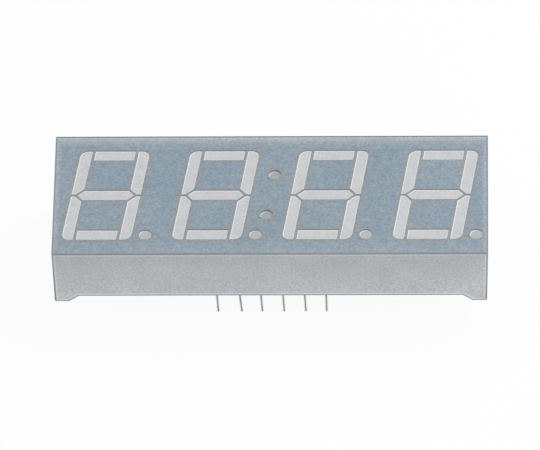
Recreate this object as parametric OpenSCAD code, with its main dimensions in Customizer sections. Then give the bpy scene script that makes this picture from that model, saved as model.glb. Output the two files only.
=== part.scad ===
// Four-digit seven-segment LED display with a colon and decimal points, for through-hole mounting.
// Sizes are in millimetres. The origin is the centre of the seating plane under the feet:
// +X runs along the digits, +Y towards the top of the digits and +Z out of the face.

/* [Case] */
// Distance from one digit to the next
digit_pitch = 12.7; // [12.5:0.1:16]
// Gap between the cases of two displays that stand end to end on the digit pitch
end_gap = 0.6; // [0:0.1:0.8]
// Width of the case across the digits, at the face
case_d = 19; // [18.6:0.1:24]
// Height of the case from the seating plane to the face
case_h = 8; // [7:0.1:12]
// Wall around the pocket that holds the board, at the face
wall = 0.8; // [0.6:0.05:0.9]
// Draft of the outer walls in degrees, narrowing towards the seating plane
draft = 1.1; // [0:0.1:2]
// Height of the four corner feet
foot_h = 0.9; // [0.6:0.05:1.1]
// Length of a foot's flat along each side of the case
foot_len = 1.65; // [1.2:0.05:4]
// Run of the slope from a foot's flat up to the rim
foot_ramp = 1.15; // [0.2:0.05:3]

/* [Digits] */
// Height of a digit
digit_h = 14.2; // [12:0.1:14.6]
// Width of a digit, measured square to its slant
digit_w = 8.02; // [7:0.02:8.2]
// Slant of the digits in degrees
slant = 8; // [7:0.5:12]
// Width of the upright segments
stroke_w = 1.34; // [1.1:0.02:1.5]
// Thickness of the level segments
bar_t = 1.47; // [1.2:0.01:1.7]
// Gap at the ends of the top and bottom segments
seg_gap = 0.35; // [0.2:0.01:0.5]
// Gap between the uprights, and at the mitred ends of the middle segment
mitre_gap = 0.28; // [0.2:0.01:0.5]
// Radius of the outer corners of the upright segments
corner_r = 0.9; // [0.4:0.05:1]
// From the digit's side in to the tip of the middle segment
tip_inset = 0.73; // [0.6:0.01:1.1]
// Diameter of the decimal points and colon dots
dot_d = 1.45; // [1.3:0.05:1.8]
// Gap from the digit's side to its decimal point
point_gap = 0.84; // [0.4:0.02:0.9]
// Height of the upper colon dot above the middle, and of the lower one below it
colon_rise = 3.2; // [2.4:0.1:4]

/* [Reflector and fill] */
// Depth of the pocket behind the cups, from the rim
pocket_depth = 2; // [1.8:0.05:2.4]
// Width of a cup's opening at the board
cup_floor = 0.9; // [0.88:0.01:1]
// Depth of the filled windows below the face
fill_drop = 0.1; // [0.06:0.02:0.4]
// Thickness of the ink printed on the face
ink_t = 0.05; // [0.03:0.01:0.12]
// Depth of the fill's back below the rim
back_drop = 0.1; // [0.05:0.05:0.2]

/* [Board] */
// Thickness of the circuit board
board_t = 1.2; // [0.8:0.1:1.4]
// Clearance between the board's edge and the pocket wall
board_clear = 0.15; // [0.05:0.01:0.2]
// Layer of fill between the board and the reflector
glue_gap = 0.1; // [0.06:0.01:0.2]
// Thickness of the copper on both faces of the board
copper_t = 0.035; // [0.018:0.001:0.05]
// Width of the copper tracks
track_w = 0.25; // [0.15:0.01:0.3]
// Diameter of the plated links through the board
link_d = 0.2; // [0.15:0.01:0.24]
// Copper left around a link
link_rim = 0.075; // [0.05:0.005:0.1]
// Distance from a bond on the board to its link
link_run = 0.35; // [0.3:0.01:0.4]
// Gap between the pad under a die and its bond pad
pad_gap = 0.1; // [0.08:0.01:0.12]
// Step to the side that takes one track past the neighbouring pin
side_step = 0.45; // [0.4:0.01:0.5]

/* [Pins] */
// Diameter of a pin
pin_d = 0.4; // [0.3:0.01:0.5]
// Length of a pin below the seating plane
pin_len = 3.5; // [2:0.1:6]
// Distance from one pin to the next in a row
pin_pitch = 2.54; // [2.3:0.01:2.7]
// Distance from a row of pins out to the side of the case, at the face
row_inset = 1.88; // [1.75:0.01:1.95]
// Length of the chamfer at a pin's tip
tip_len = 0.1; // [0.05:0.01:0.2]
// Width of the flattened length of a pin inside the board
shank_w = 0.52; // [0.42:0.01:0.56]
// Thickness of the flattened length
shank_t = 0.24; // [0.2:0.01:0.3]
// Clearance between the flattened corners and the plated hole, filled with solder
solder_clear = 0.09; // [0.08:0.01:0.12]
// Width of the copper ring around a pin's hole
ring_w = 0.2; // [0.15:0.01:0.22]
// Height of a solder fillet under the board
fillet_h = 0.35; // [0.2:0.01:0.45]

/* [Light emitters] */
// Width of an emitter die
die_w = 0.3; // [0.2:0.01:0.32]
// Thickness of an emitter die
die_t = 0.2; // [0.12:0.01:0.25]
// Width of the square copper pad under a die
die_pad = 0.5; // [0.4:0.01:0.52]
// Copper left around the adhesive under a die
attach_rim = 0.025; // [0.01:0.005:0.03]
// Thickness of the conductive adhesive under a die
attach_t = 0.03; // [0.02:0.01:0.05]
// Distance from a die's centre to its bond on the board
bond_len = 0.5; // [0.46:0.01:0.52]
// Diameter of the bond wire
wire_d = 0.038; // [0.025:0.001:0.05]
// Rise of the bond wire's loop
wire_rise = 0.18; // [0.14:0.01:0.25]

/* [Hidden] */
$fn = 48;
DIGITS = [1, 2, 3, 4];
SEGMENTS = ["a", "b", "c", "d", "e", "f", "g", "dp"];
COLON = ["colon_top", "colon_bottom"];
PINS_A_ROW = 6;
PINS = [for (i = [1 : 2 * PINS_A_ROW]) i];
PIN_NAMES = [for (i = PINS) str("pin_", i < 10 ? "0" : "", i)];
DIE_NAMES = [for (d = DIGITS) for (s = SEGMENTS) str("die_", d, s)];
COLON_DIE_NAMES = [for (s = COLON) str("die_", s)];
WIRE_NAMES = [for (d = DIGITS) str("bond_wires_", d)];

// How far a cutting shape reaches past the surface that it cuts
over = 0.5;

// The case
case_w = len(DIGITS) * digit_pitch - end_gap;
pocket_w = case_w - 2 * wall;
pocket_d = case_d - 2 * wall;
function drafted(size, z) = size / 2 - (case_h - z) * tan(draft);

// Levels from the seating plane up
z_fill_back = foot_h + back_drop;
z_web = foot_h + pocket_depth;
cup_depth = case_h - z_web;
z_board_top = z_web - glue_gap;
z_board_bottom = z_board_top - board_t;
z_copper_top = z_board_top + copper_t;
z_copper_bottom = z_board_bottom - copper_t;
z_die = z_copper_top + attach_t;
z_fill_top = case_h - fill_drop;
z_ink = case_h - ink_t;

// One digit, upright, about its own centre: x to the right and y up, slanted only where it is placed
half_h = digit_h / 2;
half_w = digit_w / 2;
inner_w = half_w - stroke_w;
bar_half = inner_w - seg_gap;
tip_half = half_w - tip_inset;
// The uprights' mitres keep |x| + |y| = mitre, one gap outside the middle segment's own mitres
mitre = tip_half + mitre_gap * sqrt(2);
bar_y = half_h - bar_t / 2;
upright_x = half_w - stroke_w / 2;
upright_y = (half_h + mitre_gap / 2) / 2;
point_x = half_w + point_gap + dot_d / 2;
point_y = -(half_h - dot_d / 2);

function slanted(p) = [p.x + p.y * tan(slant), p.y];
function flipped(pts, kx, ky) = [for (p = pts) [p.x * kx, p.y * ky]];

top_bar = [[-bar_half, half_h - bar_t], [bar_half, half_h - bar_t], [bar_half, half_h], [-bar_half, half_h]];
middle_bar = [
    [tip_half, 0], [tip_half - bar_t / 2, bar_t / 2], [-tip_half + bar_t / 2, bar_t / 2],
    [-tip_half, 0], [-tip_half + bar_t / 2, -bar_t / 2], [tip_half - bar_t / 2, -bar_t / 2]
];
upper_right = concat(
    [[inner_w, mitre - inner_w], [mitre - mitre_gap / 2, mitre_gap / 2], [half_w, mitre_gap / 2]],
    [for (a = [0 : 18 : 90]) [half_w - corner_r + corner_r * cos(a), half_h - corner_r + corner_r * sin(a)]],
    [[inner_w, half_h]]
);

function upright_outline(s) =
    s == "a" ? top_bar :
    s == "b" ? upper_right :
    s == "c" ? flipped(upper_right, 1, -1) :
    s == "d" ? flipped(top_bar, 1, -1) :
    s == "e" ? flipped(upper_right, -1, -1) :
    s == "f" ? flipped(upper_right, -1, 1) :
    middle_bar;

function upright_centre(s) =
    s == "a" ? [0, bar_y] :
    s == "b" ? [upright_x, upright_y] :
    s == "c" ? [upright_x, -upright_y] :
    s == "d" ? [0, -bar_y] :
    s == "e" ? [-upright_x, -upright_y] :
    s == "f" ? [-upright_x, upright_y] :
    s == "g" ? [0, 0] :
    s == "dp" ? [point_x, point_y] :
    s == "colon_top" ? [0, colon_rise] :
    [0, -colon_rise];

function is_dot(s) = s == "dp" || s == "colon_top" || s == "colon_bottom";
function narrow_width(s) = is_dot(s) ? dot_d : (s == "a" || s == "d" || s == "g") ? bar_t : stroke_w;
function digit_x(d) = (d - (len(DIGITS) + 1) / 2) * digit_pitch;
function centre(d, s) = [digit_x(d), 0] + slanted(upright_centre(s));
function colon_centre(s) = slanted(upright_centre(s));

// A cup widens in proportion from its floor opening at the board to its window in the face
function cup_share(s, z) = let (low = cup_floor / narrow_width(s)) low + (1 - low) * (z - z_web) / cup_depth;

module cup(s, z0, z1) {
    k0 = cup_share(s, z0);
    k1 = cup_share(s, z1);
    c = slanted(upright_centre(s));
    translate([0, 0, z0])
        if (is_dot(s))
            cylinder(h = z1 - z0, r1 = k0 * dot_d / 2, r2 = k1 * dot_d / 2);
        else
            linear_extrude(height = z1 - z0, scale = k1 / k0)
                polygon([for (p = upright_outline(s)) (slanted(p) - c) * k0]);
}

module all_cups(z0, z1) {
    for (d = DIGITS)
        for (s = SEGMENTS)
            translate(centre(d, s))
                cup(s, z0, z1);
    for (s = COLON)
        translate(colon_centre(s))
            cup(s, z0, z1);
}

// The outline of one side of the case with its feet, for a side as long as size at the face
module side_profile(size) {
    foot_x = drafted(size, 0);
    flat_x = foot_x - foot_len;
    polygon([
        [-foot_x, 0], [-flat_x, 0], [-flat_x + foot_ramp, foot_h],
        [flat_x - foot_ramp, foot_h], [flat_x, 0], [foot_x, 0],
        [drafted(size, z_ink), z_ink], [-drafted(size, z_ink), z_ink]
    ]);
}

// A side profile standing upright, drawn out to the given depth
module side_block(size, depth) {
    translate([0, depth / 2, 0])
        rotate([90, 0, 0])
            linear_extrude(height = depth)
                side_profile(size);
}

// White moulded case and reflector in one piece: a cup for each segment, a pocket behind and four feet
module reflector_housing() {
    color([0.7, 0.71, 0.72])
        difference() {
            intersection() {
                side_block(case_w, case_d + 2 * over);
                rotate([0, 0, 90])
                    side_block(case_d, case_w + 2 * over);
            }
            translate([-pocket_w / 2, -pocket_d / 2, -over])
                cube([pocket_w, pocket_d, z_web + over]);
            all_cups(z_web - over, case_h + over);
        }
}

// Blue-grey ink on the face, open at every window
module printed_face() {
    color([0.57, 0.635, 0.68])
        difference() {
            translate([-drafted(case_w, z_ink), -drafted(case_d, z_ink), z_ink])
                cube([2 * drafted(case_w, z_ink), 2 * drafted(case_d, z_ink), ink_t]);
            all_cups(z_web - over, case_h + over);
        }
}

// Everything that the fill is cast around
module embedded() {
    board_blank();
    translate([0, 0, z_board_top])
        linear_extrude(height = copper_t)
            top_copper_2d();
    translate([0, 0, z_copper_bottom])
        linear_extrude(height = copper_t)
            bottom_copper_2d();
    for (i = PINS)
        translate(pin_place(i)) {
            solder_blank();
            pin_shank();
        }
    die_attach();
    for (d = DIGITS)
        for (s = SEGMENTS) {
            translate(die_place(d, s))
                die();
            translate(die_place(d, s))
                rotate([0, 0, bond_angle(s)])
                    bond_wire();
        }
    for (s = COLON) {
        translate(colon_die_place(s))
            die();
        translate(colon_die_place(s))
            rotate([0, 0, bond_angle(s)])
                bond_wire();
    }
}

// Milky epoxy, cast in one pour: it fills the cups, seals the board in the pocket and closes the back
module epoxy_fill() {
    color([0.78, 0.79, 0.8])
        difference() {
            union() {
                all_cups(z_web, z_fill_top);
                translate([-pocket_w / 2, -pocket_d / 2, z_fill_back])
                    cube([pocket_w, pocket_d, z_web - z_fill_back]);
            }
            embedded();
        }
}

// The pins: 1 to 6 from left to right below the digits, then 7 to 12 from right to left above them
hole_d = norm([shank_w, shank_t]) + 2 * solder_clear;
ring_d = hole_d + 2 * ring_w;
cone_tip_d = norm([shank_w, shank_t]) + solder_clear;

row_pitch = case_d - 2 * row_inset;
function row_x(k) = (k - (PINS_A_ROW - 1) / 2) * pin_pitch;
function pin_place(i) =
    i <= PINS_A_ROW
        ? [row_x(i - 1), -row_pitch / 2, 0]
        : [row_x(2 * PINS_A_ROW - i), row_pitch / 2, 0];

module pin_shank() {
    translate([-shank_w / 2, -shank_t / 2, foot_h])
        cube([shank_w, shank_t, z_copper_top - foot_h]);
}

// Tinned round wire, flattened where it grips the board
module pin(i) {
    color([0.66, 0.67, 0.68])
        translate(pin_place(i)) {
            translate([0, 0, -pin_len + tip_len])
                cylinder(h = pin_len - tip_len + foot_h, d = pin_d);
            translate([0, 0, -pin_len])
                cylinder(h = tip_len, d1 = pin_d / 2, d2 = pin_d);
            pin_shank();
        }
}

module solder_blank() {
    translate([0, 0, z_copper_bottom])
        cylinder(h = z_copper_top - z_copper_bottom, d = hole_d);
    translate([0, 0, z_copper_bottom - fillet_h])
        cylinder(h = fillet_h, d1 = cone_tip_d, d2 = (hole_d + ring_d) / 2);
}

// Solder around each pin, in its plated hole and as a fillet under the board
module solder_joints() {
    color([0.75, 0.75, 0.77])
        for (i = PINS)
            translate(pin_place(i))
                difference() {
                    solder_blank();
                    pin_shank();
                }
}

// The board and its copper
board_w = pocket_w - 2 * board_clear;
board_d = pocket_d - 2 * board_clear;

module board_blank() {
    translate([-board_w / 2, -board_d / 2, z_board_bottom])
        cube([board_w, board_d, board_t]);
}

// Glass-epoxy board with the pins' plated holes and the plated links
module circuit_board() {
    color([0.85, 0.86, 0.78])
        difference() {
            board_blank();
            for (i = PINS)
                translate(pin_place(i) + [0, 0, z_board_bottom - over])
                    cylinder(h = board_t + 2 * over, d = hole_d);
            for (p = LINKS)
                translate([p.x, p.y, z_board_bottom - over])
                    cylinder(h = board_t + 2 * over, d = link_d);
        }
}

// Each die is bonded to a pad beside it. The angle points from the die to that pad
function bond_angle(s) =
    s == "a" || s == "g" || s == "colon_bottom" ? 0 :
    s == "d" || s == "colon_top" ? 180 :
    s == "b" || s == "c" ? -90 - slant :
    90 - slant;
function bond_way(s) = [cos(bond_angle(s)), sin(bond_angle(s))];
// A bar's die sits at its middle, and a dot shares its cup between the die and the bond
function die_shift(s) = is_dot(s) ? bond_way(s) * -bond_len / 2 : [0, 0];
function die_xy(d, s) = centre(d, s) + die_shift(s);
function colon_die_xy(s) = colon_centre(s) + die_shift(s);
function die_place(d, s) = [die_xy(d, s).x, die_xy(d, s).y, z_die];
function colon_die_place(s) = [colon_die_xy(s).x, colon_die_xy(s).y, z_die];

// A bond pad reaches from beside its die pad, past the bond, to the link at its far end
pad_w = link_d + 2 * link_rim;
pad_start = die_pad / 2 + pad_gap;
link_at = bond_len + link_run;
function link_xy(d, s) = die_xy(d, s) + bond_way(s) * link_at;

module die_pad_2d() {
    square(die_pad, center = true);
}

module bond_pad_2d() {
    translate([pad_start, -pad_w / 2])
        square([link_at + pad_w / 2 - pad_start, pad_w]);
}

module track(p, q) {
    translate(p)
        rotate(atan2(q.y - p.y, q.x - p.x))
            translate([-track_w / 2, -track_w / 2])
                square([norm(q - p) + track_w, track_w]);
}

// Each segment letter has one bus along the back of the board, level with that letter's links
function bus_y(s) = link_xy(1, s).y;
// The pins that reach a bus on the front of the board: [place along the row, pin, segment, sidestep]
TAPS = [
    [2, 10, "b", 0], [3, 9, "g", 0], [4, 8, "f", 0],
    [2, 3, "c", side_step], [3, 4, "e", 0], [4, 5, "dp", 0]
];
function tap_x(t) = row_x(t[0]) + t[3];
// The colon's bonds share the points' bus. Their track starts at a link to that bus, runs beside the
// colon's common, and passes under it on the back, midway between two buses
function colon_bond_xy(s) = colon_die_xy(s) + bond_way(s) * bond_len;
pass_y = (bus_y("g") + bus_y("e")) / 2;
pass_x = colon_die_xy("colon_top").x * pass_y / colon_rise;
COLON_START = [(colon_die_xy("colon_bottom") + bond_way("colon_bottom") * link_at).x, bus_y("dp")];
COLON_PASS = [[pass_x + bond_len, pass_y], [pass_x - bond_len, pass_y]];
LINKS = concat(
    [for (d = DIGITS) for (s = SEGMENTS) link_xy(d, s)],
    [for (t = TAPS) [tap_x(t), bus_y(t[2])]],
    [COLON_START], COLON_PASS
);

// The track that gathers one digit's dies: a spine with two cross arms and an arm to the point
module digit_common(d) {
    for (s = SEGMENTS)
        translate(die_xy(d, s))
            die_pad_2d();
    track(die_xy(d, "a"), die_xy(d, "d"));
    track(die_xy(d, "f"), die_xy(d, "b"));
    track(die_xy(d, "e"), die_xy(d, "c"));
    track(die_xy(d, "d"), die_xy(d, "dp"));
}

// A digit's common runs to a corner pin, up over the outer digits and down from the inner ones
module common_lead(d, s, i) {
    turn = [die_xy(d, s).x, pin_place(i).y];
    track(die_xy(d, s), turn);
    track(turn, [pin_place(i).x, pin_place(i).y]);
}

module pin_rings() {
    for (i = PINS)
        translate([pin_place(i).x, pin_place(i).y])
            circle(d = ring_d);
}

module pin_holes() {
    for (i = PINS)
        translate([pin_place(i).x, pin_place(i).y])
            circle(d = hole_d);
}

module top_copper_2d() {
    for (d = DIGITS) {
        digit_common(d);
        for (s = SEGMENTS)
            translate(die_xy(d, s))
                rotate(bond_angle(s))
                    bond_pad_2d();
    }
    for (s = COLON)
        translate(colon_die_xy(s)) {
            die_pad_2d();
            rotate(bond_angle(s))
                bond_pad_2d();
        }
    track(colon_die_xy("colon_bottom"), colon_die_xy("colon_top"));
    track(die_xy(2, "c"), colon_die_xy("colon_bottom"));
    track(COLON_START, [COLON_START.x, colon_bond_xy("colon_bottom").y]);
    track(colon_bond_xy("colon_bottom"), COLON_PASS[0]);
    track(COLON_PASS[1], colon_bond_xy("colon_top"));
    common_lead(1, "a", 12);
    common_lead(2, "d", 1);
    common_lead(3, "d", 6);
    common_lead(4, "a", 7);
    for (t = TAPS) {
        foot = [tap_x(t), pin_place(t[1]).y];
        track([pin_place(t[1]).x, foot.y], foot);
        track(foot, [tap_x(t), bus_y(t[2])]);
    }
    pin_rings();
}

// Copper on the front of the board, with the plated links through it
module top_copper() {
    color([0.8, 0.6, 0.35]) {
        translate([0, 0, z_board_top])
            linear_extrude(height = copper_t)
                difference() {
                    top_copper_2d();
                    pin_holes();
                }
        for (p = LINKS)
            translate([p.x, p.y, z_board_bottom])
                cylinder(h = board_t, d = link_d);
    }
}

module bottom_copper_2d() {
    for (s = SEGMENTS)
        track(link_xy(1, s), link_xy(len(DIGITS), s));
    track([pin_place(11).x, pin_place(11).y], [pin_place(11).x, bus_y("a")]);
    track([pin_place(2).x, pin_place(2).y], [pin_place(2).x, bus_y("d")]);
    track(COLON_PASS[0], COLON_PASS[1]);
    pin_rings();
}

// Copper on the back of the board: the segment buses and the pins' rings
module bottom_copper() {
    color([0.8, 0.6, 0.35])
        translate([0, 0, z_copper_bottom])
            linear_extrude(height = copper_t)
                difference() {
                    bottom_copper_2d();
                    pin_holes();
                }
}

attach_d = die_pad - 2 * attach_rim;

// Silver-filled adhesive under each die
module die_attach() {
    color([0.7, 0.7, 0.7]) {
        for (d = DIGITS)
            for (s = SEGMENTS)
                translate(die_place(d, s) - [0, 0, attach_t])
                    cylinder(h = attach_t, d = attach_d);
        for (s = COLON)
            translate(colon_die_place(s) - [0, 0, attach_t])
                cylinder(h = attach_t, d = attach_d);
    }
}

// A light-emitting die
module die() {
    color([0.85, 0.8, 0.6])
        translate([-die_w / 2, -die_w / 2, 0])
            cube([die_w, die_w, die_t]);
}

// A bond wire: a ball on the die, one arc, and a flattened bond on the board
ball_d = 2.4 * wire_d;
ball_h = 0.8 * wire_d;
wedge_t = 0.7 * wire_d;
arc_start = [0, die_t + ball_h / 2];
arc_end = [bond_len, wedge_t / 2 - attach_t];
chord = norm(arc_end - arc_start);
arc_r = (chord * chord / 4 + wire_rise * wire_rise) / (2 * wire_rise);
chord_way = (arc_end - arc_start) / chord;
arc_centre = (arc_start + arc_end) / 2 + [chord_way.y, -chord_way.x] * (arc_r - wire_rise);
arc_from = atan2(arc_end.y - arc_centre.y, arc_end.x - arc_centre.x);
arc_to = atan2(arc_start.y - arc_centre.y, arc_start.x - arc_centre.x);

module bond_wire() {
    color([0.9, 0.9, 0.92]) {
        translate([0, 0, die_t])
            cylinder(h = ball_h, d = ball_d);
        translate([arc_centre.x, 0, arc_centre.y])
            rotate([90, 0, 0])
                rotate_extrude(angle = arc_to - arc_from, start = arc_from)
                    translate([arc_r, 0])
                        circle(d = wire_d);
        translate([bond_len - ball_d / 2, -ball_d / 2, -attach_t])
            cube([ball_d, ball_d, wedge_t]);
    }
}

module bond_wires(d) {
    for (s = SEGMENTS)
        translate(die_place(d, s))
            rotate([0, 0, bond_angle(s)])
                bond_wire();
}

module bond_wires_colon() {
    for (s = COLON)
        translate(colon_die_place(s))
            rotate([0, 0, bond_angle(s)])
                bond_wire();
}

reflector_housing();
printed_face();
epoxy_fill();
circuit_board();
top_copper();
bottom_copper();
solder_joints();
die_attach();
for (i = PINS)
    pin(i);
for (d = DIGITS)
    for (s = SEGMENTS)
        translate(die_place(d, s)) die();
for (s = COLON)
    translate(colon_die_place(s)) die();
for (d = DIGITS)
    bond_wires(d);
bond_wires_colon();
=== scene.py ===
import math

import bmesh
import bpy
from mathutils import Matrix, Vector, geometry, kdtree


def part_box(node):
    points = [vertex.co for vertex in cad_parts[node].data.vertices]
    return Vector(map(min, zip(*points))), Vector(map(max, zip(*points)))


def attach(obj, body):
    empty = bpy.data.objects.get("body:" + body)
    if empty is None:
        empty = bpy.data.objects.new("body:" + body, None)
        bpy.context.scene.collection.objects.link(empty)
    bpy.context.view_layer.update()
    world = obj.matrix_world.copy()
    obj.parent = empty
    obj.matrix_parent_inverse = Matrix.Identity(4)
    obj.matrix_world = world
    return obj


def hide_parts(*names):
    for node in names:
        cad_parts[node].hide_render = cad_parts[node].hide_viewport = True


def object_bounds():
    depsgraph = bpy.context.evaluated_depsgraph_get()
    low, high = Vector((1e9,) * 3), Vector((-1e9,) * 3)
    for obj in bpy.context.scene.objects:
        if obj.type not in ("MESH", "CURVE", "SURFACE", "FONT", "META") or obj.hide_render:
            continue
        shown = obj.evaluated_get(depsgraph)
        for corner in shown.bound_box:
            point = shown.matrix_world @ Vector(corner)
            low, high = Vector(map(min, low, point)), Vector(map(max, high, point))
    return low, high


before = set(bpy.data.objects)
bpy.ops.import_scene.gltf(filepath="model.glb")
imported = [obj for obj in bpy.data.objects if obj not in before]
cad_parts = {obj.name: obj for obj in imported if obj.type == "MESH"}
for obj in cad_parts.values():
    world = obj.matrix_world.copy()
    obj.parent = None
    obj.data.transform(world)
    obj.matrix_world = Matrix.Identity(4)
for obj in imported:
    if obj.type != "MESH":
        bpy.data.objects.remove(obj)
cad_low, cad_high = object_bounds()
MM = 0.001


# ---------------------------------------------------------------------------------------------
# Case: one injection moulding in white polycarbonate, loaded with white pigment so that the cups
# inside it reflect. The mould is spark-eroded, which leaves a satin grain. Every outer edge has
# the small radius of a milled cavity, drawn darker along its crest, with a painted highlight
# just beside it.

EDGE_RADIUS = 0.09 * MM
# How far in from an edge its crest is drawn darker and fades, and the width of the painted
# highlight beside it
DARK_CREST = 0.14 * MM
DARK_CREST_FADE = 0.06 * MM
HIGHLIGHT_BAND = 0.3 * MM
BEVEL_STEPS = 3
INK_RUN = 0.3 * MM
# Points closer than WELD are one point, and faces that turn by less than FLAT are one face
WELD = 0.0005 * MM
FLAT = math.radians(0.5)
SHARP = math.radians(40)
LEVEL_SLACK = 0.01 * MM
# The greatest Z in the normal of an outer side, and of a drafted wall at a window
UPRIGHT = 0.2
DRAFTED = 0.5
SMALLEST_SIDE = 40 * MM * MM
# The share of the wall's thickness that counts as its outside
OUTER_SHARE = 0.55


def linear(colour):
    """An sRGB hex colour such as "c9cbce" as the linear RGBA that a shader takes."""
    parts = [int(colour[i : i + 2], 16) / 255 for i in (0, 2, 4)]
    return [c / 12.92 if c <= 0.04045 else ((c + 0.055) / 1.055) ** 2.4 for c in parts] + [1.0]


def add(tree, kind, inputs=(), **settings):
    """Adds a node with its settings, then fills each input, by name or in order, or links it."""
    made = tree.nodes.new(kind)
    for name, value in settings.items():
        setattr(made, name, value)
    for key, value in inputs.items() if isinstance(inputs, dict) else enumerate(inputs):
        if isinstance(key, str):
            key = next(i for i, s in enumerate(made.inputs) if s.enabled and s.name == key)
        if isinstance(value, bpy.types.Node):
            value = next(s for s in value.outputs if s.enabled)
        if isinstance(value, bpy.types.NodeSocket):
            tree.links.new(value, made.inputs[key])
        else:
            made.inputs[key].default_value = value
    return made


def new_material(name):
    """An empty node material, and the place of each point in the piece's own coordinates."""
    material = bpy.data.materials.new(name)
    material.use_nodes = True
    tree = material.node_tree
    tree.nodes.clear()
    return material, tree, add(tree, "ShaderNodeTexCoord").outputs["Object"]


def two_tones(tree, noise, spread, dark, light):
    """A mottled colour: dark up to the low end of a noise's spread and light from its high end."""
    share = add(
        tree, "ShaderNodeMapRange", {"Value": noise, "From Min": spread[0], "From Max": spread[1]}
    )
    return add(
        tree,
        "ShaderNodeMix",
        {"Factor": share, "A": linear(dark), "B": linear(light)},
        data_type="RGBA",
    )


def moulded_polycarbonate():
    """Pigmented polycarbonate off a spark-eroded mould: bright, satin and finely grained, with
    faint flow clouds, and painted paler towards its lower rim as light bounced up from the sheet."""
    material, tree, place = new_material("moulded_white_polycarbonate")
    clouds = add(
        tree, "ShaderNodeTexNoise", {"Vector": place, "Scale": 1 / (4 * MM), "Detail": 3.0}
    )
    # Erosion craters are about 0.03 mm across, drawn 0.22 mm across so that they show
    craters = add(
        tree, "ShaderNodeTexNoise", {"Vector": place, "Scale": 1 / (0.22 * MM), "Detail": 2.0}
    )
    height = add(tree, "ShaderNodeSeparateXYZ", [place]).outputs["Z"]
    low = add(
        tree,
        "ShaderNodeMapRange",
        {"Value": height, "From Min": 0.85 * case_high.z, "From Max": case_low.z},
    )
    # Painted light: the colour turns paler towards the lower rim, standing in for light bounced up
    # from the sheet
    colour = add(
        tree,
        "ShaderNodeMix",
        {"Factor": low, "A": linear("babec1"), "B": linear("cdd1d3")},
        data_type="RGBA",
    )
    tone = two_tones(tree, clouds, (0.3, 0.7), "f3f3f4", "ffffff")
    grain = two_tones(tree, craters, (0.35, 0.65), "e2e3e4", "ffffff")
    for veil in (tone, grain):
        colour = add(
            tree,
            "ShaderNodeMix",
            {"Factor": 1.0, "A": colour, "B": veil},
            data_type="RGBA",
            blend_type="MULTIPLY",
        )
    # The edge attributes are 1 on the darkened crest of an edge and on the painted highlight beside
    # it. Both are stronger low down
    for attribute, tint, least in (("painted_highlight", "e6e8e9", 0.4), ("dark_crest", "7c8082", 0.5)):
        mark = add(tree, "ShaderNodeAttribute", attribute_name=attribute).outputs["Fac"]
        most = add(tree, "ShaderNodeMath", [low, 0.4, least], operation="MULTIPLY_ADD")
        share = add(tree, "ShaderNodeMath", [mark, most], operation="MULTIPLY")
        colour = add(
            tree,
            "ShaderNodeMix",
            {"Factor": share, "A": colour, "B": linear(tint)},
            data_type="RGBA",
        )
    bump = add(tree, "ShaderNodeBump", {"Height": craters, "Strength": 0.6, "Distance": 0.01 * MM})
    rough = add(tree, "ShaderNodeMapRange", {"Value": craters, "To Min": 0.44, "To Max": 0.58})
    skin = add(
        tree,
        "ShaderNodeBsdfPrincipled",
        {"Base Color": colour, "Roughness": rough, "IOR": 1.585, "Normal": bump},
    )
    add(tree, "ShaderNodeOutputMaterial", {"Surface": skin})
    return material


def merged_copy(node):
    """A CAD node's surface as one bmesh, its loose triangles joined into its flat faces."""
    bm = bmesh.new()
    bm.from_mesh(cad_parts[node].data)
    bmesh.ops.remove_doubles(bm, verts=bm.verts, dist=WELD)
    bmesh.ops.dissolve_limit(bm, angle_limit=FLAT, verts=bm.verts, edges=bm.edges)
    return bm


def finish_piece(bm, name, materials):
    """Turns a bmesh into a piece at the origin, smooth but for its sharp edges."""
    mesh = bpy.data.meshes.new(name)
    bm.to_mesh(mesh)
    bm.free()
    for material in materials:
        mesh.materials.append(material)
    mesh.shade_smooth()
    mesh.set_sharp_from_angle(angle=SHARP)
    piece = bpy.data.objects.new(name, mesh)
    bpy.context.scene.collection.objects.link(piece)
    return piece


case_low, case_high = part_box("reflector_housing")
ink_low, ink_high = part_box("printed_face")
fill_low, fill_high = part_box("epoxy_fill")


def outer_edges(bm):
    """The case's sharp outer edges: not those under the print, at the windows or in the pocket."""
    skin = OUTER_SHARE * (case_high.x - fill_high.x)
    found = []
    for edge in bm.edges:
        if len(edge.link_faces) != 2 or edge.calc_face_angle(0) < SHARP:
            continue
        ends = [v.co for v in edge.verts]
        at_top = all(p.z > ink_low.z - LEVEL_SLACK for p in ends)
        outside = all(
            abs(p.x) > case_high.x - skin or abs(p.y) > case_high.y - skin for p in ends
        )
        if outside and not at_top:
            found.append(edge)
    return found


def mark_edges(bm, crest):
    """Rings inside each outer face carry the darker crest and the painted highlight band beside it.
    """
    dark_crest = bm.verts.layers.float["dark_crest"]
    painted_highlight = bm.verts.layers.float["painted_highlight"]
    beside = {f for v in crest for f in v.link_faces if not all(w in crest for w in f.verts)}
    outer = []
    for face in bm.faces:
        middle = face.calc_center_median()
        is_side = abs(face.normal.z) < UPRIGHT and face.calc_area() > SMALLEST_SIDE
        far_out = max(abs(middle.x), abs(middle.y)) > fill_high.y
        if is_side and far_out and abs(face.normal.dot(middle)) > fill_high.y:
            outer.append(face)
    rims = [f for f in beside if f.normal.z < -UPRIGHT]
    for face in outer + rims:
        for vert in face.verts:
            vert[dark_crest] = 1
    for vert in crest:
        vert[dark_crest] = 1
    bmesh.ops.inset_individual(bm, faces=rims, thickness=DARK_CREST_FADE)
    for face in rims:
        for vert in face.verts:
            vert[dark_crest] = 0
    bmesh.ops.inset_individual(bm, faces=outer, thickness=DARK_CREST)
    bmesh.ops.inset_individual(bm, faces=outer, thickness=DARK_CREST_FADE)
    for face in outer:
        for vert in face.verts:
            vert[dark_crest] = 0
            vert[painted_highlight] = 1
    bmesh.ops.inset_individual(bm, faces=outer, thickness=HIGHLIGHT_BAND)
    for face in outer:
        for vert in face.verts:
            vert[painted_highlight] = 0


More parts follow.
